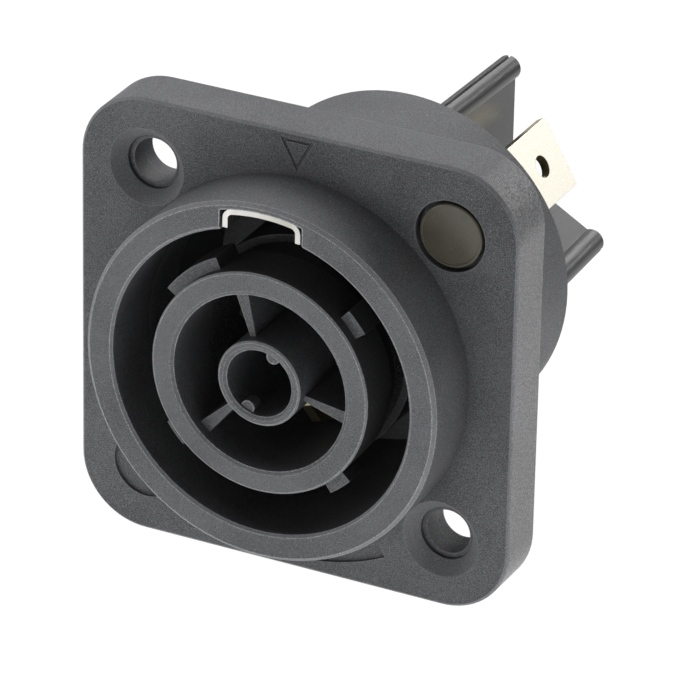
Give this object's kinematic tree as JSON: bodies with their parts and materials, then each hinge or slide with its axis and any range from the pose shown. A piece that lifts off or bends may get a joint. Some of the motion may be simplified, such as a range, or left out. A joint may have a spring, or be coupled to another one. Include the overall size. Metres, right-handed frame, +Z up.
{
  "type": "chassis power outlet",
  "caption": "Panel-mounted lockable power outlet with a square flange, round socket collar with latch slot, and flat tabs between insulating walls behind.",
  "frame": {"origin": "centre of the flange's rear face, on the barrel's axis, in the plane that meets the panel", "axes": "+Z up towards the latch slot, +Y along the axis in behind the panel, -Y towards the plug, +X to the right as seen from the front"},
  "size_m": [0.038, 0.0454, 0.038],
  "materials": {
    "housing_moulding": "fine eroded texture",
    "insert_moulding": "satin",
    "plated_contact": "tin plated, satin",
    "spring_steel": "bright rolled",
    "disc_moulding": "polished"
  },
  "bodies": {
    "root": {"flange_housing": "housing_moulding", "contact_carrier": "insert_moulding", "rear_insulator": "insert_moulding", "line_contact": "plated_contact", "neutral_contact": "plated_contact", "earth_contact": "plated_contact", "latch_clip": "spring_steel", "marker_disc": "disc_moulding"}
  },
  "joints": []
}
